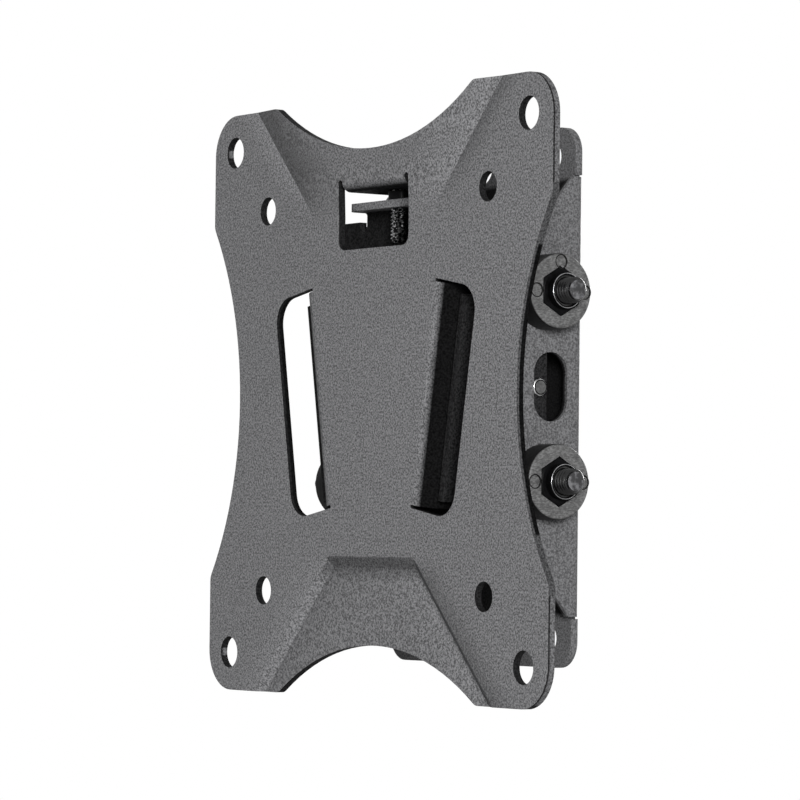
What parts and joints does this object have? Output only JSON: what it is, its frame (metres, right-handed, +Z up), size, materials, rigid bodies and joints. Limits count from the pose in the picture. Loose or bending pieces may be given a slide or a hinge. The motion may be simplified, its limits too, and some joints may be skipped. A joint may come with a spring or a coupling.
{
  "type": "tilting tv wall bracket",
  "caption": "Compact tilting wall bracket: a square mounting plate hung on a bracket that tilts between the flanges of a folded wall plate.",
  "frame": {"origin": "centre of the wall plate's back face, which lies against the wall", "axes": "+X to the right seen from the front, -Y out of the wall towards the tv, +Z up"},
  "size_m": [0.115, 0.0278, 0.115],
  "materials": {
    "coated_steel": "fine-textured charcoal powder coat",
    "zinc_rod": "bright zinc plate",
    "screw_steel": "dark plated",
    "black_steel": "black",
    "bolt_steel": "black oxide",
    "disc_plastic": "smooth moulded",
    "nut_steel": "black oxide",
    "nylon": "dark nylon"
  },
  "bodies": {
    "wall": {"wall_plate": "coated_steel"},
    "head": {"vesa_plate": "coated_steel", "tilt_bracket": "coated_steel", "spacer_rod": "zinc_rod", "safety_screw": "screw_steel", "screw_retainer": "black_steel", "tilt_bolt_upper_right": "bolt_steel", "friction_disc_upper_right": "disc_plastic", "lock_nut_upper_right": "nut_steel", "nut_insert_upper_right": "nylon", "tilt_bolt_lower_right": "bolt_steel", "friction_disc_lower_right": "disc_plastic", "lock_nut_lower_right": "nut_steel", "nut_insert_lower_right": "nylon", "tilt_bolt_upper_left": "bolt_steel", "friction_disc_upper_left": "disc_plastic", "lock_nut_upper_left": "nut_steel", "nut_insert_upper_left": "nylon", "tilt_bolt_lower_left": "bolt_steel", "friction_disc_lower_left": "disc_plastic", "lock_nut_lower_left": "nut_steel", "nut_insert_lower_left": "nylon"}
  },
  "joints": [
    {"name": "tilt", "type": "hinge", "parent": "wall", "child": "head", "pos_m": [0, -0.0091, 0.0015], "axis": [1, 0, 0], "range_deg": [-7, 7]}
  ]
}
